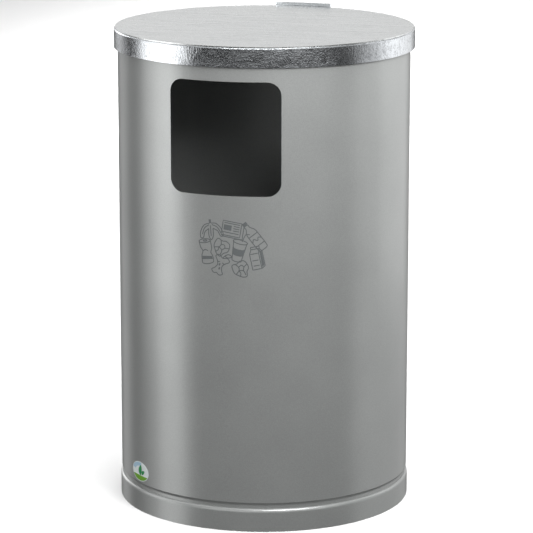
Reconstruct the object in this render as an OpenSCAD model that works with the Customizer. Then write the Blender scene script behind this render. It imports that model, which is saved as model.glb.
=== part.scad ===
// Round steel litter bin: a sheet body with a square front inlet, a hinged flat lid with a
// hoop round its edge, a foot ring, and a lift-out galvanised liner with a bail handle.
// The origin is on the body's axis at ground level. The inlet faces -Y and the hinge is at +Y.

/* [Body] */
// Outside diameter of the round body
body_d = 395; // [325:1:480]
// Height from the ground to the top of the closed lid
total_h = 650; // [540:1:790]
// Thickness of the body's sheet steel
sheet_t = 1.5; // [1:0.1:2.5]
// Height of the flat bar that stiffens the mouth of the body from inside
mouth_bar_h = 20; // [12:1:30]
// Thickness of that bar
mouth_bar_t = 3; // [2:0.5:5]
// How far the bar's top stays below the body's top edge
mouth_bar_drop = 3; // [1:0.5:6]

/* [Inlet] */
// Width of the inlet, across its straight sides
inlet_w = 150; // [100:1:190]
// Height of the inlet
inlet_h = 150; // [100:1:190]
// Radius of the inlet's corners
inlet_r = 18; // [6:1:40]
// Depth of the inlet's top edge below the top of the lid
inlet_drop = 46; // [38:1:80]

/* [Base] */
// Height of the foot ring
foot_h = 31; // [22:1:45]
// How far the foot ring stands out past the body
foot_proud = 1.5; // [0.5:0.5:5]
// Height of the foot ring's rounded shoulder
foot_shoulder_h = 5; // [2:0.5:8]
// Clearance between the foot ring and the neck that it is welded to
foot_fit = 0.1; // [0.05:0.05:0.3]
// How far the body necks in above the foot ring
neck_in = 2; // [1:0.5:4]
// Height of the slanted part of the neck
neck_h = 4; // [2:0.5:8]
// Height of the groove between the foot ring and the slanted part
groove_h = 4.5; // [2:0.5:8]
// Gap between the body's lower edge and the ground
skirt_lift = 2; // [1:0.5:6]
// Thickness of the floor plate
floor_t = 2; // [1.5:0.5:4]
// Height of the floor plate's underside above the ground
floor_lift = 12; // [6:1:16]
// Diameter of the ground anchor holes
anchor_d = 11; // [8:0.5:14]
// Number of ground anchor holes
anchor_n = 4; // [3:1:6]
// Diameter of the circle through the anchor holes
anchor_pcd = 260; // [160:1:290]
// Diameter of the drain hole in the floor plate
drain_d = 20; // [10:1:40]

/* [Lid] */
// Full height of the lid, plate and hoop together
lid_h = 27; // [18:1:36]
// Thickness of the lid's plate
lid_plate_t = 1.5; // [1:0.1:3]
// Thickness of the lid's hoop
lid_hoop_t = 2; // [1.5:0.5:4]
// How far the plate's edge stays inside the hoop's outer face
plate_inset = 1.4; // [0.5:0.1:1.8]
// Clearance under the lid's plate, over the body's top edge
lid_seat_gap = 0.5; // [0.3:0.1:2]
// Clearance left at the front while the hoop swings past the body's top edge
lid_front_clear = 0.3; // [0.3:0.1:3]
// Gap between the hoop and the body at the hinge
lid_back_gap = 5.5; // [4:0.5:9]

/* [Hinge] */
// Width of the hinge along its pin
hinge_w = 80; // [64:1:110]
// Width of the lid's own knuckle
lid_knuckle_w = 40; // [30:1:46]
// Gap between neighbouring knuckles
knuckle_gap = 0.75; // [0.3:0.05:1.5]
// Diameter of the hinge pin
pin_d = 6; // [4:0.5:8]
// Wall of the knuckles round the pin
knuckle_wall = 2; // [1.5:0.1:4]
// Radial play of the pin in the knuckles
pin_fit = 0.05; // [0.02:0.01:0.1]
// Thickness of the hinge leaf and of the bracket's pad
leaf_t = 3; // [2:0.5:5]
// How far the leaf rises above the lid
leaf_rise = 4.5; // [0:0.5:12]
// Drop of the hinge axis below the lid's hoop
hinge_drop = 7; // [6.5:0.5:12]
// Height of the bracket's pad
pad_h = 60; // [52:1:90]
// Angle at which the open lid would meet its stop
lid_stop_angle = 110; // [95:1:125]
// Width of the stop tongue
stop_w = 30; // [16:1:34]
// Thickness of the stop tongue
stop_t = 4; // [3:0.5:6]
// Clearance between the lid's knuckle and the tongue behind it
stop_clear = 4; // [3:0.5:8]
// Diameter of the bracket's rivets
rivet_d = 4.8; // [4:0.1:6]

/* [Liner] */
// Clearance all round the liner while it is lifted out past the mouth bar
lift_clear = 2.8; // [1.5:0.1:12]
// Thickness of the liner's sheet
liner_t = 1; // [0.8:0.1:1.5]
// Depth of the liner's rim below the inlet
liner_drop = 94; // [20:1:120]
// Height of the hollow under the liner's bottom
bottom_recess = 10; // [6:1:25]
// Diameter of the rolled bead round the rim
bead_d = 7; // [5:0.5:10]
// Thickness of the ears that hold the bail
ear_t = 2; // [1.5:0.5:4]
// Width of the ears
ear_w = 22; // [16:1:34]
// Diameter of the ears' rivets
ear_rivet_d = 4; // [3:0.5:5]

/* [Bail] */
// Diameter of the bail's wire
wire_d = 6; // [4:0.5:8]
// Radius of the bail's elbows
elbow_r = 6; // [5:0.5:12]
// Radial play of the bail in the ears
eye_fit = 0.05; // [0.02:0.01:0.1]

/* [Label] */
// Width of the small oval label low on the body
label_w = 43; // [20:1:60]
// Height of the label
label_h = 27; // [14:1:40]
// Height of the label's centre above the ground
label_z = 55; // [54:1:300]
// Direction of the label from the front, towards -X
label_turn = 42.7; // [25:0.1:120]

/* [Hidden] */
$fa = 2;
$fs = 0.5;
// Overshoot of every cut past the face that it opens
over = 1;

// Body
body_r = body_d / 2;
inside_r = body_r - sheet_t;
neck_r = body_r - neck_in;
shell_top = total_h - lid_plate_t - lid_seat_gap;
neck_top = foot_h + groove_h + neck_h;
inlet_top = total_h - inlet_drop;
inlet_bottom = inlet_top - inlet_h;
mouth_r = inside_r - mouth_bar_t;
mouth_top = shell_top - mouth_bar_drop;

// Base
foot_outer_r = body_r + foot_proud;
foot_inner_r = neck_r + foot_fit;
foot_shoulder_w = 0.85 * (foot_outer_r - foot_inner_r);
floor_r = neck_r - sheet_t;
floor_top = floor_lift + floor_t;

// Lid and hinge axis, seen from the side: y is the distance behind the body's axis
knuckle_r = pin_d / 2 + knuckle_wall;
bore_r = pin_d / 2 + pin_fit;
knuckle_bite = 1.5;
leaf_to_axis = knuckle_r - knuckle_bite;
skirt_z = total_h - lid_h;
hinge_z = skirt_z - hinge_drop;
back_face_y = body_r + lid_back_gap + lid_hoop_t;
hinge_y = back_face_y + leaf_t + leaf_to_axis;
// The hoop's front edge moves in a little as it rises past the body's top edge
swing_arm = hinge_y + body_r;
swing_angle = asin((shell_top - skirt_z) / swing_arm);
swing_in = swing_arm * (1 - cos(swing_angle)) + hinge_drop * sin(swing_angle);
lid_front_gap = swing_in + lid_front_clear;
lid_r = body_r + (lid_front_gap + lid_back_gap) / 2 + lid_hoop_t;
lid_y = (lid_back_gap - lid_front_gap) / 2;
hoop_top = total_h - lid_plate_t;
hoop_edge_r = plate_inset * 0.95;
leaf_foot = skirt_z + 1.5;
leaf_top = total_h + leaf_rise;

// Bracket, with a stop tongue that passes under the lid's knuckle and rises behind it
pad_top = hinge_z - 4;
pad_bottom = pad_top - pad_h;
outer_knuckle_x = lid_knuckle_w / 2 + knuckle_gap;
web_foot = pad_top - 20;
stop_reach = knuckle_r + stop_clear + stop_t;
stop_tip_z = hinge_z + (stop_reach * cos(lid_stop_angle) + leaf_to_axis) / sin(lid_stop_angle);
stop_under_z = hinge_z - knuckle_r - 2;
stop_bend = stop_t + 2;

// Pin and cap
end_gap = 0.3;
head_h = 2.5;
cap_grip = 3.7;
cap_end = 1.3;

// Bracket rivets: two columns and two rows, each rivet pointing at the body's axis
rivet_r = rivet_d / 2;
rivet_head_r = rivet_d;
rivet_head_h = rivet_d / 3;
rivet_play = 0.05;
rivet_turn = asin((hinge_w / 2 - 12) / body_r);
rivet_rows = [pad_bottom + 10, web_foot - 10];
backing_t = 3;
backing_rows = [pad_bottom + 1, web_foot - 1];
backing_r = inside_r - backing_t;

// Liner
bead_r = bead_d / 2;
bead_out = 2;
ear_gap = 0.4;
bail_head_h = 2;
ear_stack = bead_out + bead_r + ear_gap + ear_t + end_gap + bail_head_h;
liner_r = mouth_r - lift_clear - ear_stack;
liner_foot = floor_top + 0.3;
rim_top = inlet_bottom - liner_drop;
bead_z = rim_top - bead_r;
bead_c = liner_r + bead_out;
bottom_z = liner_foot + bottom_recess;

// Ears
ear_r = bead_c + bead_r + ear_gap;
wire_r = wire_d / 2;
eye_z = rim_top + wire_r + ear_gap;
eye_wall = 6;
ear_foot = rim_top - 39;
crank_low = rim_top - 17;
crank_high = rim_top - 9;
ear_rivet_r = ear_rivet_d / 2;
ear_rivet_head_r = ear_rivet_r * 1.9;
ear_rivet_head_h = ear_rivet_r * 0.6;
ear_rivet_rows = [ear_foot + 6, ear_foot + 17];

// Bail, folded to the front and resting just over the bead
bail_tip = liner_r - 2;
bail_arc_r = bail_tip - elbow_r;
bail_rest_gap = 0.3;
bail_tip_z = bead_z + sqrt(pow(bead_r + wire_r + bail_rest_gap, 2) - pow(bead_c - bail_tip, 2));
bail_droop = atan((eye_z - bail_tip_z) / bail_tip);
bail_head_x = ear_r + ear_t + end_gap;
bail_head_r = wire_r * 1.5;

// Label
label_t = 0.25;

// Colours
powder = [0.56, 0.57, 0.56];
zinc = [0.72, 0.74, 0.75];
bright = [0.80, 0.80, 0.80];

// Ring between two radii and two heights
module ring(r_in, r_out, z_low, z_high) {
    translate([0, 0, z_low]) difference() {
        cylinder(r = r_out, h = z_high - z_low);
        translate([0, 0, -over]) cylinder(r = r_in, h = z_high - z_low + 2 * over);
    }
}

// Part of a ring, centred on +Y and as wide as the given chord at its outer radius
module ring_piece(r_in, r_out, z_low, z_high, width) {
    half = asin(width / 2 / r_out);
    rotate([0, 0, 90 - half]) rotate_extrude(angle = 2 * half)
        translate([r_in, z_low]) square([r_out - r_in, z_high - z_low]);
}

// Side outline drawn in Y and Z, given a width along X and centred on x
module side_plate(x, width) {
    translate([x - width / 2, 0, 0]) rotate([90, 0, 90]) linear_extrude(height = width) children();
}

// Pin along X from x_low to x_high
module x_pin(r, x_low, x_high) {
    translate([x_low, 0, 0]) rotate([0, 90, 0]) cylinder(r = r, h = x_high - x_low);
}

// Rectangle with round corners, centred
module round_rect(w, h, r) {
    union() {
        square([w - 2 * r, h], center = true);
        square([w, h - 2 * r], center = true);
        for (sx = [-1, 1], sy = [-1, 1])
            translate([sx * (w / 2 - r), sy * (h / 2 - r)]) circle(r = r);
    }
}

// Domed head of a rivet standing on z = 0
module dome_head(r, h) {
    ball_r = (r * r + h * h) / (2 * h);
    intersection() {
        translate([0, 0, h - ball_r]) sphere(r = ball_r);
        cylinder(r = r, h = h);
    }
}

// Rivet pointing along +X, gripping everything between two radii from the axis
module rivet_x(r, head_r, head_h, grip_in, grip_out) {
    // A flat head over a hollow wall meets it at the head's edge
    seat_in = sqrt(grip_in * grip_in - head_r * head_r);
    rotate([0, 90, 0]) union() {
        translate([0, 0, grip_out]) dome_head(head_r, head_h);
        translate([0, 0, seat_in - head_h / 2]) cylinder(r = r, h = grip_out - seat_in + head_h);
        translate([0, 0, seat_in]) mirror([0, 0, 1]) dome_head(head_r, head_h);
    }
}

// Places of the bracket's rivets, with +X pointing outwards
module at_bracket_rivets() {
    for (side = [-1, 1], z = rivet_rows)
        rotate([0, 0, 90 + side * rivet_turn]) translate([0, 0, z]) children();
}

module bracket_rivet_holes() {
    at_bracket_rivets() x_pin(rivet_r + rivet_play, backing_r - 5, body_r + leaf_t + 5);
}

// Places of the ears' rivets on one side of the liner
module at_ear_rivets() {
    for (z = ear_rivet_rows) translate([0, 0, z]) children();
}

module ear_rivet_holes() {
    at_ear_rivets() x_pin(ear_rivet_r + rivet_play, liner_r - 5, liner_r + ear_t + 5);
}

module body_shell() {
    color(powder) difference() {
        rotate_extrude() polygon([
            [neck_r - sheet_t, skirt_lift], [neck_r, skirt_lift], [neck_r, foot_h + groove_h],
            [body_r, neck_top], [body_r, shell_top], [inside_r, shell_top],
            [inside_r, neck_top + sheet_t / 2], [neck_r - sheet_t, foot_h + groove_h + sheet_t / 2]
        ]);
        translate([0, 0, (inlet_top + inlet_bottom) / 2]) rotate([90, 0, 0])
            linear_extrude(height = body_r + over) round_rect(inlet_w, inlet_h, inlet_r);
        bracket_rivet_holes();
    }
}

module rim_hoop() {
    color(powder) ring(mouth_r, inside_r, mouth_top - mouth_bar_h, mouth_top);
}

module foot_ring() {
    color(powder) rotate_extrude() polygon(concat(
        [[foot_inner_r, foot_h], [foot_inner_r, 0], [foot_outer_r, 0]],
        [for (a = [0 : 10 : 90])
            [foot_outer_r - foot_shoulder_w * (1 - cos(a)),
             foot_h - foot_shoulder_h * (1 - sin(a))]]
    ));
}

module floor_plate() {
    color(powder) translate([0, 0, floor_lift]) difference() {
        cylinder(r = floor_r, h = floor_t);
        for (i = [0 : anchor_n - 1])
            rotate([0, 0, 45 + i * 360 / anchor_n]) translate([anchor_pcd / 2, 0, -over])
                cylinder(d = anchor_d, h = floor_t + 2 * over);
        translate([0, 0, -over]) cylinder(d = drain_d, h = floor_t + 2 * over);
    }
}

// Web of one outer knuckle, from the pad out to the pin
module web_outline() {
    union() {
        polygon([
            [body_r - leaf_t * 2, web_foot], [body_r - leaf_t * 2, pad_top],
            [body_r, pad_top],
            [hinge_y + knuckle_r * cos(120), hinge_z + knuckle_r * sin(120)],
            [hinge_y + knuckle_r * cos(-30), hinge_z + knuckle_r * sin(-30)]
        ]);
        translate([hinge_y, hinge_z]) circle(r = knuckle_r);
    }
}

// Stop tongue, bent upwards behind the pin with a round outer corner
module tongue_outline() {
    back_y = hinge_y + stop_reach;
    low_z = stop_under_z - stop_t;
    polygon(concat(
        [[body_r - leaf_t, stop_under_z], [body_r - leaf_t, low_z]],
        [for (a = [-90 : 15 : 0])
            [back_y - stop_bend + stop_bend * cos(a), low_z + stop_bend + stop_bend * sin(a)]],
        [[back_y, stop_tip_z], [back_y - stop_t, stop_tip_z]],
        [for (a = [0 : -15 : -90])
            [back_y - stop_bend + (stop_bend - stop_t) * cos(a),
             low_z + stop_bend + (stop_bend - stop_t) * sin(a)]]
    ));
}

module hinge_bracket() {
    outer_w = hinge_w / 2 - outer_knuckle_x;
    color(powder) difference() {
        union() {
            ring_piece(body_r - leaf_t, body_r + leaf_t, pad_bottom, pad_top, hinge_w);
            for (side = [-1, 1])
                side_plate(side * (outer_knuckle_x + outer_w / 2), outer_w) web_outline();
            side_plate(0, stop_w) tongue_outline();
        }
        translate([0, 0, pad_bottom - over]) cylinder(r = body_r, h = pad_h + 2 * over);
        translate([0, hinge_y, hinge_z]) x_pin(bore_r, -hinge_w / 2 - over, hinge_w / 2 + over);
        bracket_rivet_holes();
    }
}

module backing_plate() {
    color(zinc) difference() {
        ring_piece(backing_r, inside_r, backing_rows[0], backing_rows[1], hinge_w - 4);
        bracket_rivet_holes();
    }
}

module bracket_rivets() {
    color(bright) at_bracket_rivets()
        rivet_x(rivet_r, rivet_head_r, rivet_head_h, backing_r, body_r + leaf_t);
}

module hinge_pin() {
    end = hinge_w / 2 + end_gap;
    color(bright) translate([0, hinge_y, hinge_z]) union() {
        x_pin(pin_d / 2, -end - head_h / 2, end + cap_grip);
        translate([-end, 0, 0]) rotate([0, -90, 0]) dome_head(knuckle_r, head_h);
    }
}

module pin_cap() {
    start = hinge_w / 2 + end_gap;
    color(bright) translate([start, hinge_y, hinge_z]) difference() {
        union() {
            x_pin(knuckle_r, 0, cap_grip);
            translate([cap_grip, 0, 0]) rotate([0, 90, 0]) dome_head(knuckle_r, cap_end);
        }
        x_pin(pin_d / 2, -over, cap_grip);
    }
}

module label() {
    color("white") rotate([0, 0, -label_turn]) intersection() {
        ring(body_r, body_r + label_t, label_z - label_h, label_z + label_h);
        translate([0, 0, label_z]) rotate([90, 0, 0]) linear_extrude(height = body_r + over)
            polygon([for (a = [0 : 10 : 350]) [label_w / 2 * cos(a), label_h / 2 * sin(a)]]);
    }
}

module lid_plate() {
    color(zinc) translate([0, lid_y, hoop_top])
        cylinder(r = lid_r - plate_inset, h = lid_plate_t);
}

module lid_hoop() {
    color(zinc) translate([0, lid_y, 0]) rotate_extrude() union() {
        translate([lid_r - lid_hoop_t, skirt_z])
            square([lid_hoop_t, hoop_top - skirt_z - hoop_edge_r]);
        translate([lid_r - lid_hoop_t, skirt_z])
            square([lid_hoop_t - hoop_edge_r, hoop_top - skirt_z]);
        translate([lid_r - hoop_edge_r, hoop_top - hoop_edge_r]) circle(r = hoop_edge_r);
    }
}

// Neck that carries the leaf down into the lid's knuckle
module neck_outline() {
    inner_y = hinge_y - leaf_to_axis - leaf_t;
    union() {
        polygon([
            [inner_y, leaf_foot + 2], [inner_y, hinge_z - knuckle_r * 0.2],
            [hinge_y + knuckle_r * cos(225), hinge_z + knuckle_r * sin(225)],
            [hinge_y, hinge_z], [hinge_y + knuckle_r * cos(110), hinge_z + knuckle_r * sin(110)],
            [inner_y + leaf_t, leaf_foot + 2]
        ]);
        translate([hinge_y, hinge_z]) circle(r = knuckle_r);
    }
}

module lid_hinge_leaf() {
    color(zinc) difference() {
        union() {
            translate([0, lid_y, 0])
                ring_piece(lid_r, lid_r + leaf_t, leaf_foot, leaf_top, hinge_w);
            side_plate(0, lid_knuckle_w) neck_outline();
        }
        translate([0, hinge_y, hinge_z])
            x_pin(bore_r, -lid_knuckle_w / 2 - over, lid_knuckle_w / 2 + over);
    }
}

module liner_wall() {
    color(zinc) difference() {
        ring(liner_r - liner_t, liner_r, liner_foot, bead_z);
        rim_bead();
        ear_rivet_holes();
        rotate([0, 0, 180]) ear_rivet_holes();
    }
}

module rim_bead() {
    rotate_extrude() translate([bead_c, bead_z]) circle(r = bead_r);
}

module liner_bottom() {
    bottom_r = liner_r - liner_t;
    color(zinc) rotate_extrude() union() {
        translate([0, bottom_z]) square([bottom_r, liner_t]);
        translate([bottom_r - liner_t, liner_foot]) square([liner_t, bottom_recess + liner_t]);
    }
}

module liner_rim() {
    color(zinc) rim_bead();
}

// Face outline of an ear, drawn in Y and Z: cut corners below and a round lobe at the eye
module ear_outline() {
    lobe_r = wire_r + eye_wall;
    corner = 4;
    side_y = ear_w / 2;
    union() {
        polygon([
            [corner - side_y, ear_foot - over], [side_y - corner, ear_foot - over],
            [side_y, ear_foot + corner - over], [side_y, crank_high],
            [lobe_r, eye_z], [-lobe_r, eye_z],
            [-side_y, crank_high], [-side_y, ear_foot + corner - over]
        ]);
        translate([0, eye_z]) circle(r = lobe_r);
    }
}

// Ear on the +X side: riveted to the wall below the bead and cranked out past it
module ear() {
    half = asin((ear_w / 2 + over) / liner_r);
    above = eye_z + wire_r + eye_wall + over;
    color(zinc) difference() {
        intersection() {
            side_plate(liner_r + ear_stack / 2, 2 * ear_stack) ear_outline();
            rotate([0, 0, -half]) rotate_extrude(angle = 2 * half) polygon([
                [liner_r, ear_foot], [liner_r + ear_t, ear_foot],
                [liner_r + ear_t, crank_low], [ear_r + ear_t, crank_high],
                [ear_r + ear_t, above], [ear_r, above],
                [ear_r, crank_high + ear_t / 2], [liner_r, crank_low + ear_t / 2]
            ]);
        }
        translate([0, 0, eye_z]) x_pin(wire_r + eye_fit, liner_r, ear_r + ear_t + over);
        ear_rivet_holes();
    }
}

module ear_right() {
    ear();
}

module ear_left() {
    rotate([0, 0, 180]) ear();
}

module ear_rivets() {
    color(bright) for (turn = [0, 180]) rotate([0, 0, turn]) at_ear_rivets()
        rivet_x(ear_rivet_r, ear_rivet_head_r, ear_rivet_head_h, liner_r - liner_t, liner_r + ear_t);
}

// One half of the bail, on the +X side, lying in the XY plane and reaching towards -Y
module bail_half() {
    union() {
        translate([0, -elbow_r, 0]) rotate([0, 0, -90]) rotate_extrude(angle = 90)
            translate([bail_arc_r, 0]) circle(r = wire_r);
        translate([bail_tip, -elbow_r, 0]) rotate([0, 0, 90]) rotate_extrude(angle = 90)
            translate([elbow_r, 0]) circle(r = wire_r);
        x_pin(wire_r, bail_tip, bail_head_x + bail_head_h / 2);
        translate([bail_head_x, 0, 0]) rotate([0, 90, 0]) dome_head(bail_head_r, bail_head_h);
    }
}

module bail_handle() {
    color(zinc) translate([0, 0, eye_z]) rotate([bail_droop, 0, 0]) union() {
        bail_half();
        mirror([1, 0, 0]) bail_half();
    }
}

body_shell();
rim_hoop();
foot_ring();
floor_plate();
hinge_bracket();
backing_plate();
bracket_rivets();
hinge_pin();
pin_cap();
label();
lid_plate();
lid_hoop();
lid_hinge_leaf();
liner_wall();
liner_bottom();
liner_rim();
ear_left();
ear_right();
ear_rivets();
bail_handle();
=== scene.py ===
"""Looks of a round steel litter bin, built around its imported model.

The body is rolled sheet in silver-grey metallic powder coat, inside and out. The lid and the
lift-out liner are hot-dip galvanised. Pieces made here: the printed sign under the inlet, the
picture on the oval label, the body's seam weld and the weld beads of the lid's hinge leaf.
Everything is in metres, in the model's own frame: +Z up, the inlet faces -Y, the hinge is at +Y.
"""
import math

import bpy
import numpy as np
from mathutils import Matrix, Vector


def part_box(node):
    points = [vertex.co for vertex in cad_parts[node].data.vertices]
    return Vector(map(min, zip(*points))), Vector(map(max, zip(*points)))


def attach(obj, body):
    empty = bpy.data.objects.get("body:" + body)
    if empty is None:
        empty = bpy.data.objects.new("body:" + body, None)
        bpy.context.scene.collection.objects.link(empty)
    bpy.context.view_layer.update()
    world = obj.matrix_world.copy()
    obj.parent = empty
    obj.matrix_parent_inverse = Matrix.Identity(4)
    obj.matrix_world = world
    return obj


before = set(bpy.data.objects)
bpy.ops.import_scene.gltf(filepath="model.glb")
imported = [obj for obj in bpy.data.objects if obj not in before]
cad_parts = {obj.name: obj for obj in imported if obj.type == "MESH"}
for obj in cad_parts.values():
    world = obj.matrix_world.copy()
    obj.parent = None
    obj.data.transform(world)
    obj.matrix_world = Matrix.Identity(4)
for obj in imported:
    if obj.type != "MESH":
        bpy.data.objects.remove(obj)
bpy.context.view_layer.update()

MM = 0.001

# ---------------------------------------------------------------- sizes taken from the model

shell_low, shell_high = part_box("body_shell")
foot_low, foot_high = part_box("foot_ring")
hoop_low, hoop_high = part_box("lid_hoop")
leaf_low, leaf_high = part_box("lid_hinge_leaf")
label_low, label_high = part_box("label")

BODY_R = shell_high.x
# The body is necked in above the foot: a 4.5 mm groove, and a 4 mm flare up to full width
NECK_TOP = foot_high.z + (4.5 + 4) * MM
LID_R = (hoop_high.x - hoop_low.x) / 2
LID_Y = (hoop_high.y + hoop_low.y) / 2
LEAF_T = 3 * MM

# ---------------------------------------------------------------- small helpers


def linear(hex_colour):
    """sRGB hex to linear RGBA: c / 12.92 near black, ((c + 0.055) / 1.055) ** 2.4 above."""
    c = np.array([int(hex_colour[i:i + 2], 16) / 255 for i in (1, 3, 5)])
    rgb = np.where(c <= 0.04045, c / 12.92, ((c + 0.055) / 1.055) ** 2.4)
    return (*rgb.tolist(), 1.0)


def add(tree, kind, inputs=None, **settings):
    """Adds a node, sets its settings, and fills its inputs with links or plain values."""
    node = tree.nodes.new(kind)
    for name, value in settings.items():
        setattr(node, name, value)
    for key, value in (inputs or {}).items():
        if isinstance(value, bpy.types.NodeSocket):
            tree.links.new(value, node.inputs[key])
        else:
            node.inputs[key].default_value = value
    return node


def ramp_step(tree, value, low, high):
    """A soft step from 0 to 1 between two values, or from 1 to 0 when low is above high."""
    ends = (low, high, 0.0, 1.0) if low < high else (high, low, 1.0, 0.0)
    names = ("From Min", "From Max", "To Min", "To Max")
    return add(tree, "ShaderNodeMapRange", {"Value": value, **dict(zip(names, ends))},
               interpolation_type="SMOOTHSTEP").outputs["Result"]


def two_tone(tree, value, low_tone, high_tone, low=0.0, high=1.0):
    """A colour between two linear tones, as the value goes from low to high."""
    ramp = add(tree, "ShaderNodeValToRGB", {"Fac": value})
    for stop, place, tone in zip(ramp.color_ramp.elements, (low, high), (low_tone, high_tone)):
        stop.position = place
        stop.color = (*tone[:3], 1)
    return ramp.outputs["Color"]


def surface(tree, inputs):
    """A principled surface, joined to the material's output."""
    shader = add(tree, "ShaderNodeBsdfPrincipled", inputs)
    add(tree, "ShaderNodeOutputMaterial", {"Surface": shader.outputs["BSDF"]})


def new_material(name):
    """An empty node material and its tree."""
    material = bpy.data.materials.new(name)
    material.use_nodes = True
    material.node_tree.nodes.clear()
    return material, material.node_tree


def paint_node(name, material):
    """Gives a node of the model its material."""
    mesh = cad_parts[name].data
    mesh.materials.clear()
    mesh.materials.append(material)


def new_piece(name, verts, faces, material, body, smooth=True):
    """A mesh object at the origin, made of points and faces, riding on a body."""
    mesh = bpy.data.meshes.new(name)
    mesh.from_pydata(np.asarray(verts).tolist(), [], faces)
    mesh.materials.append(material)
    mesh.polygons.foreach_set("use_smooth", [smooth] * len(mesh.polygons))
    mesh.update()
    piece = bpy.data.objects.new(name, mesh)
    bpy.context.scene.collection.objects.link(piece)
    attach(piece, body)
    return piece


def grid_faces(rows, columns, wrap_rows=False):
    """Quads of a rows x columns grid whose columns always wrap round, turned to face outwards."""
    last = rows if wrap_rows else rows - 1
    i, j = np.meshgrid(np.arange(last), np.arange(columns), indexing="ij")
    i2, j2 = (i + 1) % rows, (j + 1) % columns
    quads = np.stack([i * columns + j, i * columns + j2, i2 * columns + j2, i2 * columns + j], -1)
    return quads.reshape(-1, 4).tolist()


def join(parts):
    """Joins (points, faces) pairs into one pair."""
    points, faces, start = [], [], 0
    for p, f in parts:
        points.append(p)
        faces += [[start + k for k in face] for face in f]
        start += len(p)
    return np.concatenate(points), faces


# ---------------------------------------------------------------- materials


def powder_coat(name, colour):
    """Polyester powder coat with aluminium flake, baked on sheet steel.

    It is satin, slightly pebbled, and glitters finely.
    """
    material, tree = new_material(name)
    place = add(tree, "ShaderNodeTexCoord").outputs["Object"]
    # Flake is 0.05 mm in the real coat, and is drawn 1.1 mm wide so that it shows
    flake = add(tree, "ShaderNodeTexNoise", {"Vector": place, "Scale": 1 / (1.1 * MM), "Detail": 1.0})
    # Orange peel: soft bumps about 4 mm apart
    peel = add(tree, "ShaderNodeTexNoise", {"Vector": place, "Scale": 1 / (4 * MM), "Detail": 2.0})
    # Film thickness drifts over a hand's width
    drift = add(tree, "ShaderNodeTexNoise", {"Vector": place, "Scale": 1 / (90 * MM), "Detail": 2.0})
    base = np.array(linear(colour))
    tint = two_tone(tree, flake.outputs["Fac"], base * 0.93, base * 1.08, 0.3, 0.7)
    shade = add(tree, "ShaderNodeMapRange", {"Value": drift.outputs["Fac"], "From Min": 0.3,
                                             "From Max": 0.7, "To Min": 0.96, "To Max": 1.04})
    toned = add(tree, "ShaderNodeVectorMath", {0: tint, "Scale": shade.outputs["Result"]},
                operation="SCALE")
    rough = add(tree, "ShaderNodeMapRange", {"Value": flake.outputs["Fac"], "From Min": 0.3,
                                             "From Max": 0.7, "To Min": COAT_ROUGH - 0.02,
                                             "To Max": COAT_ROUGH + 0.02})
    bump = add(tree, "ShaderNodeBump", {"Height": peel.outputs["Fac"], "Strength": 0.25,
                                        "Distance": 0.1 * MM})
    surface(tree, {"Base Color": toned.outputs["Vector"], "Roughness": rough.outputs["Result"],
                   "Metallic": COAT_METAL, "IOR": 1.5, "Normal": bump.outputs["Normal"]})
    return material


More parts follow.
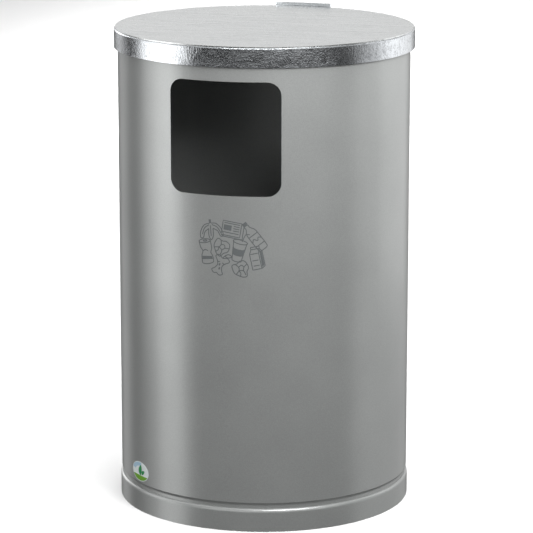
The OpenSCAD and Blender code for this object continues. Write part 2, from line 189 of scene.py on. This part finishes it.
def dipped_zinc(name, colour, rough, relief_mm, contrast, pebble_mm=3.5, ground=False, metal=1.0):
    """Hot-dip galvanised steel: frozen zinc with faint spangle, a pebbled skin and run-off streaks.

    relief_mm is the height of the pebbles and contrast the share by which the tone varies. A ground
    piece also has patches of slanting scratches, left where runs of zinc were dressed off. metal under
    1 is zinc gone dull and chalky with use.
    """
    material, tree = new_material(name)
    place = add(tree, "ShaderNodeTexCoord").outputs["Object"]
    # Spangle crystals about 8 mm across
    spangle = add(tree, "ShaderNodeTexVoronoi", {"Vector": place, "Scale": 1 / (8 * MM)})
    crystal = add(tree, "ShaderNodeSeparateColor", {"Color": spangle.outputs["Color"]}).outputs["Red"]
    # Pebbles of the zinc's skin, with finer grain on them
    pebble = add(tree, "ShaderNodeTexNoise", {"Vector": place, "Scale": 1 / (pebble_mm * MM), "Detail": 3.0,
                                              "Roughness": 0.6}).outputs["Fac"]
    # Streaks left as the zinc ran off: 90 mm long and 5 mm wide
    turned = add(tree, "ShaderNodeMapping", {"Vector": place, "Rotation": (0.3, 0.25, 0.35),
                                             "Scale": (1 / (90 * MM), 1 / (5 * MM), 1 / (6 * MM))})
    streak = add(tree, "ShaderNodeTexNoise", {"Vector": turned.outputs["Vector"], "Scale": 1.0,
                                              "Detail": 3.0, "Distortion": 0.4}).outputs["Fac"]
    tone = add(tree, "ShaderNodeMath", {0: crystal, 1: 0.1, 2: 0.08}, operation="MULTIPLY_ADD").outputs[0]
    tone = add(tree, "ShaderNodeMath", {0: pebble, 1: 0.8, 2: tone}, operation="MULTIPLY_ADD").outputs[0]
    tone = add(tree, "ShaderNodeMath", {0: streak, 1: 0.9, 2: tone}, operation="MULTIPLY_ADD").outputs[0]
    base = np.array(linear(colour))
    tint = two_tone(tree, tone, base * (1 - contrast), np.minimum(base * (1 + contrast), 1), 0.7)
    dull = add(tree, "ShaderNodeMapRange", {"Value": tone, "From Min": 0.7, "From Max": 1.2,
                                            "To Min": rough + 0.06, "To Max": rough - 0.06})
    relief = add(tree, "ShaderNodeMath", {0: streak, 1: 0.5, 2: pebble},
                 operation="MULTIPLY_ADD").outputs[0]
    if ground:
        parts = add(tree, "ShaderNodeSeparateXYZ", {"Vector": place})
        front = add(tree, "ShaderNodeMath", {0: parts.outputs["Y"], 1: -1.0}, operation="MULTIPLY")
        turn = add(tree, "ShaderNodeMath", {0: parts.outputs["X"], 1: front.outputs[0]},
                   operation="ARCTAN2")
        along = add(tree, "ShaderNodeMath", {0: turn.outputs[0], 1: LID_R}, operation="MULTIPLY")
        sheet = add(tree, "ShaderNodeCombineXYZ", {"X": along.outputs[0], "Y": parts.outputs["Z"]})
        # Scratches 25 mm long and 1.3 mm apart, slanting at 50 degrees
        slant = add(tree, "ShaderNodeMapping", {"Vector": sheet.outputs[0], "Rotation": (0, 0, 0.87),
                                                "Scale": (1 / (1.3 * MM), 1 / (25 * MM), 1)})
        scratch = add(tree, "ShaderNodeTexNoise", {"Vector": slant.outputs["Vector"], "Scale": 1.0,
                                                   "Detail": 1.0}).outputs["Fac"]
        # Patches 70 mm wide
        patchy = add(tree, "ShaderNodeTexNoise", {"Vector": sheet.outputs[0], "Scale": 1 / (70 * MM)})
        share = ramp_step(tree, patchy.outputs["Fac"], 0.5, 0.6)
        deep = add(tree, "ShaderNodeMath", {0: scratch, 1: share}, operation="MULTIPLY").outputs[0]
        relief = add(tree, "ShaderNodeMath", {0: deep, 1: 0.8, 2: relief},
                     operation="MULTIPLY_ADD").outputs[0]
    bump = add(tree, "ShaderNodeBump", {"Height": relief, "Strength": 1.0, "Distance": relief_mm * MM})
    surface(tree, {"Base Color": tint, "Roughness": dull.outputs["Result"], "Metallic": metal,
                   "Normal": bump.outputs["Normal"]})
    return material


def plated_steel():
    """Zinc-plated steel of rivets and pin: cleaner and brighter than dipped zinc, with a fine grain."""
    material, tree = new_material("zinc_plated_steel")
    place = add(tree, "ShaderNodeTexCoord").outputs["Object"]
    grain = add(tree, "ShaderNodeTexNoise", {"Vector": place, "Scale": 1 / (1.2 * MM), "Detail": 3.0})
    rough = add(tree, "ShaderNodeMapRange", {"Value": grain.outputs["Fac"], "To Min": 0.22, "To Max": 0.42})
    tint = two_tone(tree, grain.outputs["Fac"], linear("#a9adae"), linear("#cfd1cf"))
    bump = add(tree, "ShaderNodeBump", {"Height": grain.outputs["Fac"], "Strength": 0.3,
                                        "Distance": 0.05 * MM})
    surface(tree, {"Base Color": tint, "Roughness": rough.outputs["Result"], "Metallic": 1.0,
                   "Normal": bump.outputs["Normal"]})
    return material


def flat_ink(name, colour, variation=0.08, rough=0.5):
    """Screen-printed ink or printed film: an even colour, a little thin in places."""
    material, tree = new_material(name)
    place = add(tree, "ShaderNodeTexCoord").outputs["Object"]
    thin = add(tree, "ShaderNodeTexNoise", {"Vector": place, "Scale": 1 / (2.5 * MM), "Detail": 2.0})
    base = np.array(linear(colour))
    tint = two_tone(tree, thin.outputs["Fac"], base * (1 - variation),
                    np.minimum(base * (1 + variation), 1))
    surface(tree, {"Base Color": tint, "Roughness": rough})
    return material


COAT_METAL = 0.45
COAT_ROUGH = 0.31

coat = powder_coat("metallic_powder_coat", "#9fa1a0")
lid_zinc = dipped_zinc("hot_dip_zinc_plate", "#cdcfcf", 0.30, 0.04, 0.11)
hoop_zinc = dipped_zinc("hot_dip_zinc_ground_hoop", "#c2c5c8", 0.23, 0.24, 0.22, 2.4, ground=True)
liner_zinc = dipped_zinc("hot_dip_zinc_liner", "#a4a8aa", 0.38, 0.10, 0.12, metal=0.5)
plated = plated_steel()
film_white = flat_ink("label_film_white", "#dfe6e6", 0.03, 0.3)
film_sky = flat_ink("label_film_pale_blue", "#a9c8dc", 0.05, 0.3)
film_leaf = flat_ink("label_film_leaf_green", "#1f8a4c", 0.08, 0.3)
film_grass = flat_ink("label_film_grass_green", "#6fa52c", 0.08, 0.3)
sign_ink = flat_ink("grey_screen_ink", "#5a5e5f", 0.06, 0.5)

MATERIAL_OF = {
    "body_shell": coat, "foot_ring": coat, "hinge_bracket": coat, "rim_hoop": coat,
    "floor_plate": coat, "backing_plate": liner_zinc,
    "lid_plate": lid_zinc, "lid_hoop": hoop_zinc, "lid_hinge_leaf": hoop_zinc,
    "liner_wall": liner_zinc, "liner_bottom": liner_zinc, "liner_rim": liner_zinc,
    "ear_left": liner_zinc, "ear_right": liner_zinc, "bail_handle": liner_zinc,
    "bracket_rivets": plated, "ear_rivets": plated, "hinge_pin": plated, "pin_cap": plated,
    "label": film_white,
}
for node_name, node_material in MATERIAL_OF.items():
    paint_node(node_name, node_material)

# ---------------------------------------------------------------- print on curved sheet


def on_body(points, turn, height, radius):
    """Wraps (across, up, out) points in metres onto the round body.

    across is measured along the surface from the direction turn, which counts from the front
    towards +X: the angle is turn + across / radius, and out adds to the radius.
    """
    angle = turn + points[:, 0] / radius
    r = radius + points[:, 2]
    return np.stack([r * np.sin(angle), -r * np.cos(angle), height + points[:, 1]], -1)


def stroke(path, width, thick, closed=False):
    """A line of ink: at each point of the path two edges, half a width to each side, in two layers."""
    step = np.roll(path, -1, 0) - np.roll(path, 1, 0) if closed else np.gradient(path, axis=0)
    step /= np.linalg.norm(step, axis=1)[:, None]
    side = np.stack([-step[:, 1], step[:, 0]], -1) * width / 2
    left, right = path + side, path - side
    n = len(path)
    rows = np.zeros((n, 4, 3))
    rows[:, 0, :2], rows[:, 1, :2], rows[:, 2, :2], rows[:, 3, :2] = left, right, right, left
    rows[:, :2, 2] = thick
    faces = grid_faces(n, 4, wrap_rows=closed)
    if not closed:
        faces += [[3, 2, 1, 0], [4 * n - 4, 4 * n - 3, 4 * n - 2, 4 * n - 1]]
    return rows.reshape(-1, 3), faces


def patch(outline, thick, rings=6):
    """A filled shape: rings shrink from the outline to its middle, on top and, as one rim, below."""
    middle = outline.mean(0)
    n = len(outline)
    share = np.linspace(1, 0, rings + 1)[:-1]
    top = middle + (outline - middle) * share[:, None, None]
    rows = np.zeros((2 * rings, n, 3))
    rows[:rings, :, :2] = top[::-1]
    rows[rings:, :, :2] = top
    rows[:rings, :, 2] = thick
    points = np.concatenate([rows.reshape(-1, 3), [[*middle, thick], [*middle, 0.0]]])
    faces = [face[::-1] for face in grid_faces(2 * rings, n)]
    inner, outer = len(points) - 2, len(points) - 1
    last = (2 * rings - 1) * n
    faces += [[inner, k, (k + 1) % n] for k in range(n)]
    faces += [[outer, last + (k + 1) % n, last + k] for k in range(n)]
    return points, faces


def curve(knots, per_span=8, closed=False):
    """A smooth line through its knots: Catmull-Rom spans, 0.5 (2b + (c-a)t + ...) at each t."""
    k = np.asarray(knots, float)
    if closed:
        k = np.concatenate([k[-1:], k, k[:2]])
    else:
        k = np.concatenate([[2 * k[0] - k[1]], k, [2 * k[-1] - k[-2]]])
    t = np.linspace(0, 1, per_span, endpoint=False)[:, None]
    spans = [
        0.5 * (2 * b + (c - a) * t + (2 * a - 5 * b + 4 * c - d) * t**2 + (3 * b - a - 3 * c + d) * t**3)
        for a, b, c, d in zip(k[:-3], k[1:-2], k[2:-1], k[3:])
    ]
    line = np.concatenate(spans)
    return line if closed else np.concatenate([line, k[-2:-1]])


def oval(cx, cy, rx, ry, start=0.0, end=360.0, turn=0.0, count=36):
    """Points of an ellipse, or of part of one, turned about its centre."""
    whole = abs(end - start) >= 360
    a = np.radians(np.linspace(start, end, count, endpoint=not whole))
    x, y = rx * np.cos(a), ry * np.sin(a)
    c, s = math.cos(math.radians(turn)), math.sin(math.radians(turn))
    return np.stack([cx + x * c - y * s, cy + x * s + y * c], -1)


def placed(points, x, y, turn):
    """Turns points about the origin and moves them."""
    c, s = math.cos(math.radians(turn)), math.sin(math.radians(turn))
    p = np.asarray(points, float)
    return np.stack([x + p[:, 0] * c - p[:, 1] * s, y + p[:, 0] * s + p[:, 1] * c], -1)


def straight(corners, closed=False, per_edge=5):
    """Straight edges between corners, each cut into equal steps."""
    k = np.asarray(corners, float)
    ends = np.roll(k, -1, 0) if closed else k[1:]
    steps = [np.linspace(a, b, per_edge, endpoint=False) for a, b in zip(k, ends)]
    line = np.concatenate(steps)
    return line if closed else np.concatenate([line, k[-1:]])


def item(x, y, turn, closed=(), lines=(), fills=()):
    """One drawing moved to its place: closed outlines, open lines and filled shapes."""
    return ([(placed(p, x, y, turn), True) for p in closed]
            + [(placed(p, x, y, turn), False) for p in lines], [placed(p, x, y, turn) for p in fills])


def bottle(x, y, turn):
    """Drinks bottle: shouldered outline, filled cap, and a label with one wavy line."""
    outline = curve([(-6, -19), (-7, -12), (-7, 2), (-6.5, 8), (-3, 14), (-2.6, 18), (2.6, 18),
                     (3, 14), (6.5, 8), (7, 2), (7, -12), (6, -19), (0, -20)], 5, closed=True)
    cap = straight([(-3.4, 19), (-3.4, 23), (3.4, 23), (3.4, 19)], True)
    label = [straight([(-7, h), (7, h)]) for h in (-12, 3)]
    wave = curve([(-6.5, -5), (-3, -2), (0.5, -6), (3.5, -3), (6.5, -5)], 5)
    return item(x, y, turn, [outline], [*label, wave], [cap])


def drinks_can(x, y, turn):
    """Dented can: rim, foot, two sides pressed in, a crease, a pull tab and a dark band."""
    left = curve([(-8, 14), (-7, 6), (-4.8, 1), (-7.2, -5), (-8, -14)], 5)
    right = curve([(8, 14), (8.4, 4), (6.2, -2), (8, -7), (8, -14)], 5)
    crease = curve([(-4.2, 1), (-1, 2.4), (2.5, 0.4)], 5)
    band = straight([(-6.6, -5.5), (7, -7), (7.2, -11), (-7, -10)], True)
    return item(x, y, turn, [oval(0, 14, 8, 2.6), oval(0.8, 14.2, 2.6, 0.9)],
                [oval(0, -14, 8, 2.6, 180, 360, count=18), left, right, crease], [band])


def apple_core(x, y, turn):
    """Eaten apple: a waisted core, bite marks, its stalk with a leaf, and two dark pips."""
    core = curve([(0, 10), (-6, 12.5), (-10, 9), (-6.5, 5), (-3.4, 0), (-5, -6), (-8, -10), (-4, -13),
                  (0, -11.5), (4, -13), (8, -10), (5, -6), (3.4, 0), (6.5, 5), (10, 9), (6, 12.5)], 4, True)
    leaf = curve([(1.5, 14), (5, 18), (10, 17), (6, 13.5)], 5, True)
    bites = [curve([(s * 6.5, 5), (s * 4.6, 3.4), (s * 1.6, 4)], 4) for s in (-1, 1)]
    stalk = curve([(0, 10), (0.6, 13), (2.4, 16)], 5)
    pips = [oval(px, py, 1.1, 2.0, count=12) for px, py in ((-0.9, 0.5), (1.0, -4.5))]
    return item(x, y, turn, [core, leaf], [*bites, stalk], pips)


def paper_cup(x, y, turn):
    """Paper cup: rim, tapering sides, a filled sleeve between two curved lines, and a bent straw."""
    sides = [straight([(-9, 12), (-6.2, -13)]), straight([(9, 12), (6.2, -13)])]
    sleeve = np.concatenate([oval(0, 4, 8.1, 2.2, 180, 360, count=12),
                             oval(0, -5, 7.1, 2.2, 360, 180, count=12)])
    straw = curve([(2, 13), (4, 21), (5.2, 23.5), (10, 24.6)], 5)
    return item(x, y, turn, [oval(0, 12, 9.6, 2.8)],
                [oval(0, -13, 6.2, 1.8, 180, 360, count=14), straw, *sides], [sleeve])


def paper_ball(x, y, turn):
    """Crumpled sheet: a knobbly outline with creases meeting inside it."""
    a = np.radians(np.arange(0, 360, 30))
    knobs = 10.5 + 1.4 * np.cos(3 * a + 0.6) + 1.0 * np.sin(5 * a)
    outline = curve(np.stack([knobs * np.cos(a), knobs * np.sin(a)], -1), 5, True)
    creases = [curve(k, 5) for k in (
        [(-9, 3), (-3, 1.5), (1, 3.5), (3, 9)], [(-3, 1.5), (-1, -4), (-5, -9)],
        [(-1, -4), (4, -3), (9, -5)], [(1, 3.5), (5, 1), (4, -3)], [(-9, -3), (-5.5, -2), (-3, 1.5)])]
    return item(x, y, turn, [outline], creases)


def banana_peel(x, y, turn):
    """Banana peel: three drooping flaps from one stalk, each with its middle rib."""
    left = curve([(-1, 10), (-9, 8), (-15, 0), (-16, -8), (-12, -8), (-9, -1), (-3, 3)], 5)
    middle = curve([(-3, 3), (-4, -6), (-1.5, -12), (2, -7), (3, 3)], 5)
    right = curve([(3, 3), (9, -1), (12, -8), (16, -7), (14, 2), (8, 9), (1, 10)], 5)
    ribs = [curve(k, 5) for k in ([(-2, 8), (-9, 4), (-13, -4)], [(0, 7), (-0.5, 0), (-1, -7)],
                                  [(2, 8), (9, 4), (13, -4)])]
    stalk = straight([(-1.4, 10), (-1.6, 15), (1.6, 15), (1.4, 10)], True)
    return item(x, y, turn, [], [left, middle, right, *ribs], [stalk])


def newspaper(x, y, turn):
    """Folded newspaper: a sheet with a turned fold, a dark picture box and plain rules for its text."""
    sheet = straight([(-14, -9), (-14, 10), (11, 10), (11, -9)], True)
    fold = straight([(11, 10), (14.5, 7.5), (14.5, -11), (-11, -11), (-14, -9)])
    rules = [straight([(1, h), (9, h)]) for h in (4.5, 1.5, -1.5)] + [straight([(-12, -5), (9, -5)])]
    picture = straight([(-12, -2), (-12, 5), (-1.5, 5), (-1.5, -2)], True)
    return item(x, y, turn, [sheet], [fold, straight([(-12, 7.5), (9, 7.5)]), *rules], [picture])


def milk_carton(x, y, turn):
    """Small carton lying down: front, one side in shade, and the folded ridge at its top."""
    front = straight([(-7, -13), (-7, 8), (5, 8), (5, -13)], True)
    roof = straight([(-7, 8), (-4, 14), (7, 14), (5, 8)])
    side = straight([(5, -13), (10, -10), (10, 10), (7, 14)])
    ridge = straight([(-4, 14), (-4, 17), (7.5, 17), (7, 14)])
    shade = straight([(5.9, -11), (9.2, -9), (9.2, 9.5), (6.6, 12)], True)
    return item(x, y, turn, [front], [roof, side, ridge, straight([(-5, -1), (3, -1)]),
                                      straight([(-5, -8), (3, -8)])], [shade])


SIGN_TURN = math.radians(3.2)
SIGN_BELOW_TOP = 261 * MM
SIGN_LINE = 1.25 * MM
INK_LIFT = 0.03 * MM
INK_THICK = 0.06 * MM


def litter_sign():
    """Litter in line art, printed under the inlet; every item is a plain drawing of its own."""
    items = [banana_peel(-27, 20, 8), newspaper(2, 23, -9), bottle(31, 14, 38), drinks_can(-34, -8, 10),
             paper_ball(-13, -1, 20), paper_cup(10, -5, -12), apple_core(-15, -25, -24),
             milk_carton(33, -16, 12), paper_ball(13, -29, 70)]
    parts = [stroke(path * MM, SIGN_LINE, INK_THICK, closed)
             for outlines, _ in items for path, closed in outlines]
    parts += [patch(outline * MM, INK_THICK) for _, fills in items for outline in fills]
    points, faces = join(parts)
    points[:, 2] += INK_LIFT
    height = shell_high.z - SIGN_BELOW_TOP
    return new_piece("litter_sign_print", on_body(points, SIGN_TURN, height, BODY_R), faces,
                     sign_ink, "body", smooth=False)


litter_sign()

# ---------------------------------------------------------------- picture on the label

# Width, height and margin are in millimetres; the picture's second layer lies a step higher
LABEL_Z = (label_low.z + label_high.z) / 2
LABEL_TURN = -math.radians(42.7)
LABEL_W, LABEL_H = 43.0, 27.0
LABEL_FACE = BODY_R + 0.25 * MM
LABEL_MARGIN = 1.0
FILM_STEP = 0.08 * MM


def label_picture():
    """Two leaves over a plain green band, with a pale blue arc: thin patches of film."""
    w, h = LABEL_W / 2 - LABEL_MARGIN, LABEL_H / 2 - LABEL_MARGIN
    band_edge = oval(0, 0, w, h, 205, 335, count=30)
    band = np.concatenate([band_edge, straight([band_edge[-1], band_edge[0]], per_edge=12)[1:-1]])
    arc = np.concatenate([oval(0, 0, w, h, 80, 165, count=18),
                          oval(2, -1.5, w - 5, h - 3, 160, 85, count=18)])
    leaf = curve([(0, -6), (-4.2, -2.5), (-5, 2), (-2.6, 6), (0.4, 8.6), (2.6, 5), (3.2, 0.5), (2, -3.5)],
                 5, True)
    small = placed(leaf * 0.62, 7.6, -1.2, -48)
    for name, outline, material, layer in (
            ("label_arc", arc, film_sky, 0), ("label_band", band, film_grass, 0),
            ("label_leaf", placed(leaf, 1.5, 0.8, -6), film_leaf, 1),
            ("label_leaf_small", small, film_leaf, 1)):
        points, faces = patch(outline * MM, INK_THICK)
        points[:, 2] += INK_LIFT + layer * FILM_STEP
        new_piece(name, on_body(points, LABEL_TURN, LABEL_Z, LABEL_FACE), faces, material,
                  "body", smooth=False)


label_picture()

# ---------------------------------------------------------------- welds

WELD_RIPPLE = 2.4 * MM
WELD_R = 1.9 * MM


def weld_bead(start, end, radius, out):
    """A weld bead along a straight line: a twelve-sided tube whose radius ripples with the torch.

    radius(s) = r (1 + 0.12 |sin(pi s / ripple)|), and it narrows to half towards both ends. out is the
    direction away from the seam.
    """
    start, end = np.array(start), np.array(end)
    length = np.linalg.norm(end - start)
    count = int(length / (0.4 * MM)) + 1
    s = np.linspace(0, length, count)
    fat = radius * (1 + 0.12 * np.abs(np.sin(math.pi * s / WELD_RIPPLE)))
    fat *= np.sqrt(np.clip(np.minimum(s, length - s) / (2 * radius) + 0.25, 0, 1))
    along = (end - start) / length
    across = np.cross(along, out)
    a = np.linspace(0, 2 * math.pi, 12, endpoint=False)
    ring = np.cos(a)[:, None] * across + np.sin(a)[:, None] * np.array(out)
    points = start + s[:, None, None] * along + fat[:, None, None] * ring
    n = len(a)
    faces = [face[::-1] for face in grid_faces(count, n)]
    faces += [list(range(n)), [n * (count - 1) + k for k in reversed(range(n))]]
    return points.reshape(-1, 3), faces


SEAM_TURN = math.radians(152)
SEAM_HALF = 2.6 * MM
SEAM_CROWN = 0.28 * MM
SEAM_RIPPLE = 3.0 * MM
SEAM_ENDS = 1 * MM


def seam_weld():
    """The body's upright seam behind, where the rolled sheet's two edges were joined and dressed.

    Its height is crown cos^2(pi across / 2 half) (1 + 0.18 sin(2 pi z / ripple)).
    """
    rows = int((shell_high.z - NECK_TOP) / (1.5 * MM))
    z = np.linspace(NECK_TOP + SEAM_ENDS, shell_high.z - SEAM_ENDS, rows)
    across = np.linspace(-SEAM_HALF, SEAM_HALF, 9)
    crown = SEAM_CROWN * np.cos(across / SEAM_HALF * math.pi / 2) ** 2
    wander = 0.25 * MM * np.sin(z / (37 * MM)) + 0.12 * MM * np.sin(z / (11 * MM))
    ripple = 1 + 0.18 * np.sin(2 * math.pi * z / SEAM_RIPPLE)
    top = np.zeros((rows, len(across), 3))
    top[..., 0] = across + wander[:, None]
    top[..., 1] = z[:, None]
    top[..., 2] = crown * ripple[:, None] + 0.02 * MM
    below = top[:, ::-1].copy()
    below[..., 2] = -0.3 * MM
    rows_of = np.concatenate([top, below], 1)
    columns = rows_of.shape[1]
    faces = [face[::-1] for face in grid_faces(rows, columns)]
    faces += [list(range(columns)), [columns * (rows - 1) + k for k in reversed(range(columns))]]
    points = on_body(rows_of.reshape(-1, 3), SEAM_TURN, 0.0, BODY_R)
    return new_piece("body_seam_weld", points, faces, coat, "body")


def leaf_welds():
    """Fillet beads down both sides of the hinge leaf, where it stands against the lid's hoop."""
    half = math.asin((leaf_high.x - leaf_low.x) / 2 / (LID_R + LEAF_T))
    parts = []
    for side in (-1, 1):
        x = LID_R * math.sin(side * half)
        y = LID_Y + LID_R * math.cos(half)
        out = np.array([math.sin(side * half), math.cos(half), 0.0])
        parts.append(weld_bead((x, y, hoop_low.z + 3 * MM), (x, y, hoop_high.z - 2.5 * MM),
                               WELD_R, out))
    points, faces = join(parts)
    return new_piece("leaf_weld_beads", points, faces, lid_zinc, "lid")


seam_weld()
leaf_welds()

# ---------------------------------------------------------------- studio

CAMERA_TURN = math.radians(15.8)
CAMERA_DISTANCE = 3.806
CAMERA_HEIGHT = 1.187
CAMERA_PITCH = math.radians(12.88)
CAMERA_LENS_MM = 192.0
SENSOR_MM = 36.0
FRAME_SHIFT = 0.0045


def at(turn_deg, distance, height):
    """A place round the bin: turn counts from the camera's side, positive towards the right."""
    a = CAMERA_TURN + math.radians(turn_deg)
    return (distance * math.sin(a), -distance * math.cos(a), height)


def camera():
    """The camera, fitted to the bin's outline: a long lens from a little above."""
    data = bpy.data.cameras.new("camera")
    data.lens = CAMERA_LENS_MM
    data.sensor_width = SENSOR_MM
    data.shift_x = FRAME_SHIFT
    data.clip_end = 100
    eye = bpy.data.objects.new("camera", data)
    eye.location = at(0, CAMERA_DISTANCE, CAMERA_HEIGHT)
    eye.rotation_euler = (math.pi / 2 - CAMERA_PITCH, 0, CAMERA_TURN)
    bpy.context.scene.collection.objects.link(eye)
    bpy.context.scene.camera = eye


def softbox(name, place, aim, width, height, radiance, spread=180, in_sheen=True):
    """A rectangular light of a given surface brightness: power = radiance x pi x area.

    A spread under 180 degrees is a grid over the softbox, which keeps the light off the room.
    One that is not in the sheen lights the floor and matt faces only.
    """
    data = bpy.data.lights.new(name, "AREA")
    data.shape = "RECTANGLE"
    data.size, data.size_y = width, height
    data.energy = radiance * math.pi * width * height
    data.spread = math.radians(spread)
    light = bpy.data.objects.new(name, data)
    light.location = place
    from_to = Vector(aim) - Vector(place)
    light.rotation_euler = from_to.to_track_quat("-Z", "Y").to_euler()
    light.visible_camera = False
    light.visible_glossy = in_sheen
    bpy.context.scene.collection.objects.link(light)


def pale_floor():
    """A wide matt floor."""
    size = 30.0
    mesh = bpy.data.meshes.new("floor")
    mesh.from_pydata([(-size, -size, 0), (size, -size, 0), (size, size, 0), (-size, size, 0)], [],
                     [(0, 1, 2, 3)])
    material, tree = new_material("pale_floor")
    surface(tree, {"Base Color": linear("#f1f1f1"), "Roughness": 0.9, "Specular IOR Level": 0.1})
    mesh.materials.append(material)
    floor = bpy.data.objects.new("floor", mesh)
    bpy.context.scene.collection.objects.link(floor)
    # The floor lights nothing, so that the bin's sheen and shade come from the room's walls alone
    floor.visible_glossy = False
    floor.visible_diffuse = False
    floor.visible_shadow = False


def studio_air(panels):
    """The room's walls and far lamps, as soft-edged panels on a dark surround.

    A panel has a direction round the bin, counted from the camera's side towards the right, half a
    width, the elevations of its lower and upper edge, all in degrees, and a brightness.
    """
    world = bpy.data.worlds.new("studio")
    world.use_nodes = True
    tree = world.node_tree
    tree.nodes.clear()
    direction = add(tree, "ShaderNodeTexCoord").outputs["Generated"]
    height = add(tree, "ShaderNodeSeparateXYZ", {"Vector": direction}).outputs["Z"]
    flat = add(tree, "ShaderNodeVectorMath", {0: direction, 1: (1, 1, 0)}, operation="MULTIPLY")
    level = add(tree, "ShaderNodeVectorMath", {0: flat.outputs["Vector"]}, operation="NORMALIZE")
    total = ROOM_DARK
    for turn, half, low, high, brightness in panels.values():
        low_edge, high_edge = ([math.sin(math.radians(max(-90, min(e + s, 90)))) for s in
                                (-EDGE_SOFT, EDGE_SOFT)] for e in (low, high))
        inside = [ramp_step(tree, height, *low_edge)]
        if half < 180:
            along = add(tree, "ShaderNodeVectorMath", {0: level.outputs["Vector"], 1: at(turn, 1, 0)},
                        operation="DOT_PRODUCT").outputs["Value"]
            near, far = (math.cos(math.radians(half + s)) for s in (-EDGE_SOFT, EDGE_SOFT))
            inside.append(ramp_step(tree, along, far, near))
        if high < 90:
            inside.append(ramp_step(tree, height, *reversed(high_edge)))
        share = brightness
        for part in inside:
            share = add(tree, "ShaderNodeMath", {0: part, 1: share}, operation="MULTIPLY").outputs[0]
        total = add(tree, "ShaderNodeMath", {0: share, 1: total}, operation="ADD").outputs[0]
    glow = add(tree, "ShaderNodeBackground", {"Color": (1, 1, 1, 1), "Strength": total})
    add(tree, "ShaderNodeOutputWorld", {"Surface": glow.outputs["Background"]})
    bpy.context.scene.world = world


ROOM_DARK = 0.02
EDGE_SOFT = 3.0
PANELS = {
    "left_box": (-78, 14, -26, 2, 1.7), "left_wide": (-101, 10, -26, 2, 0.4),
    "rim_left": (-146, 11, -3, 27, 3.0), "rim_left_low": (-146, 11, -26, -3, 0.6),
    "front_wall": (0, 50, 0, 26, 1.1), "right_wall": (118, 42, -24, 2, 0.6),
    "back_wall": (180, 32, -2, 40, 0.82), "side_wall_left": (-94, 46, 4, 40, 0.3),
    "side_wall_right": (94, 46, 4, 40, 0.4), "ceiling": (0, 180, 40, 90, 0.6),
}

camera()
pale_floor()
studio_air(PANELS)
middle = (0, 0, 0.35)
softbox("key", at(28, 1.1, 1.15), (0, 0, 0.55), 0.6, 0.5, 15.0)
softbox("key_through_inlet", at(9, 1.6, 1.25), (0, 0, 0.45), 0.4, 0.35, 15.0)
softbox("top_strip", at(0, 0.9, 2.2), (0, -0.15, 0), 1.0, 0.25, 9.0)
softbox("left_near", at(-84, 1.0, 0.62), middle, 0.62, 1.2, 0.8)
softbox("left_low", at(-85, 2.4, 0.58), middle, 1.45, 1.1, 0.5)
softbox("right_near", at(118, 1.0, 0.62), middle, 0.9, 1.2, 0.5)
softbox("right", at(110, 2.4, 1.2), middle, 1.6, 2.2, 0.4)
softbox("overhead", at(165, 1.6, 3.4), at(165, 1.2, 0), 3.2, 3.2, 1.6, in_sheen=False)
softbox("floor_strip_near", at(180, 1.5, 2.2), at(180, 1.5, 0), 0.5, 3.0, 0.5, 35)
softbox("floor_strip_far", at(180, 3.8, 3.0), at(180, 3.8, 0), 1.0, 3.5, 1.6, 50)

bpy.context.scene.view_settings.view_transform = "Standard"
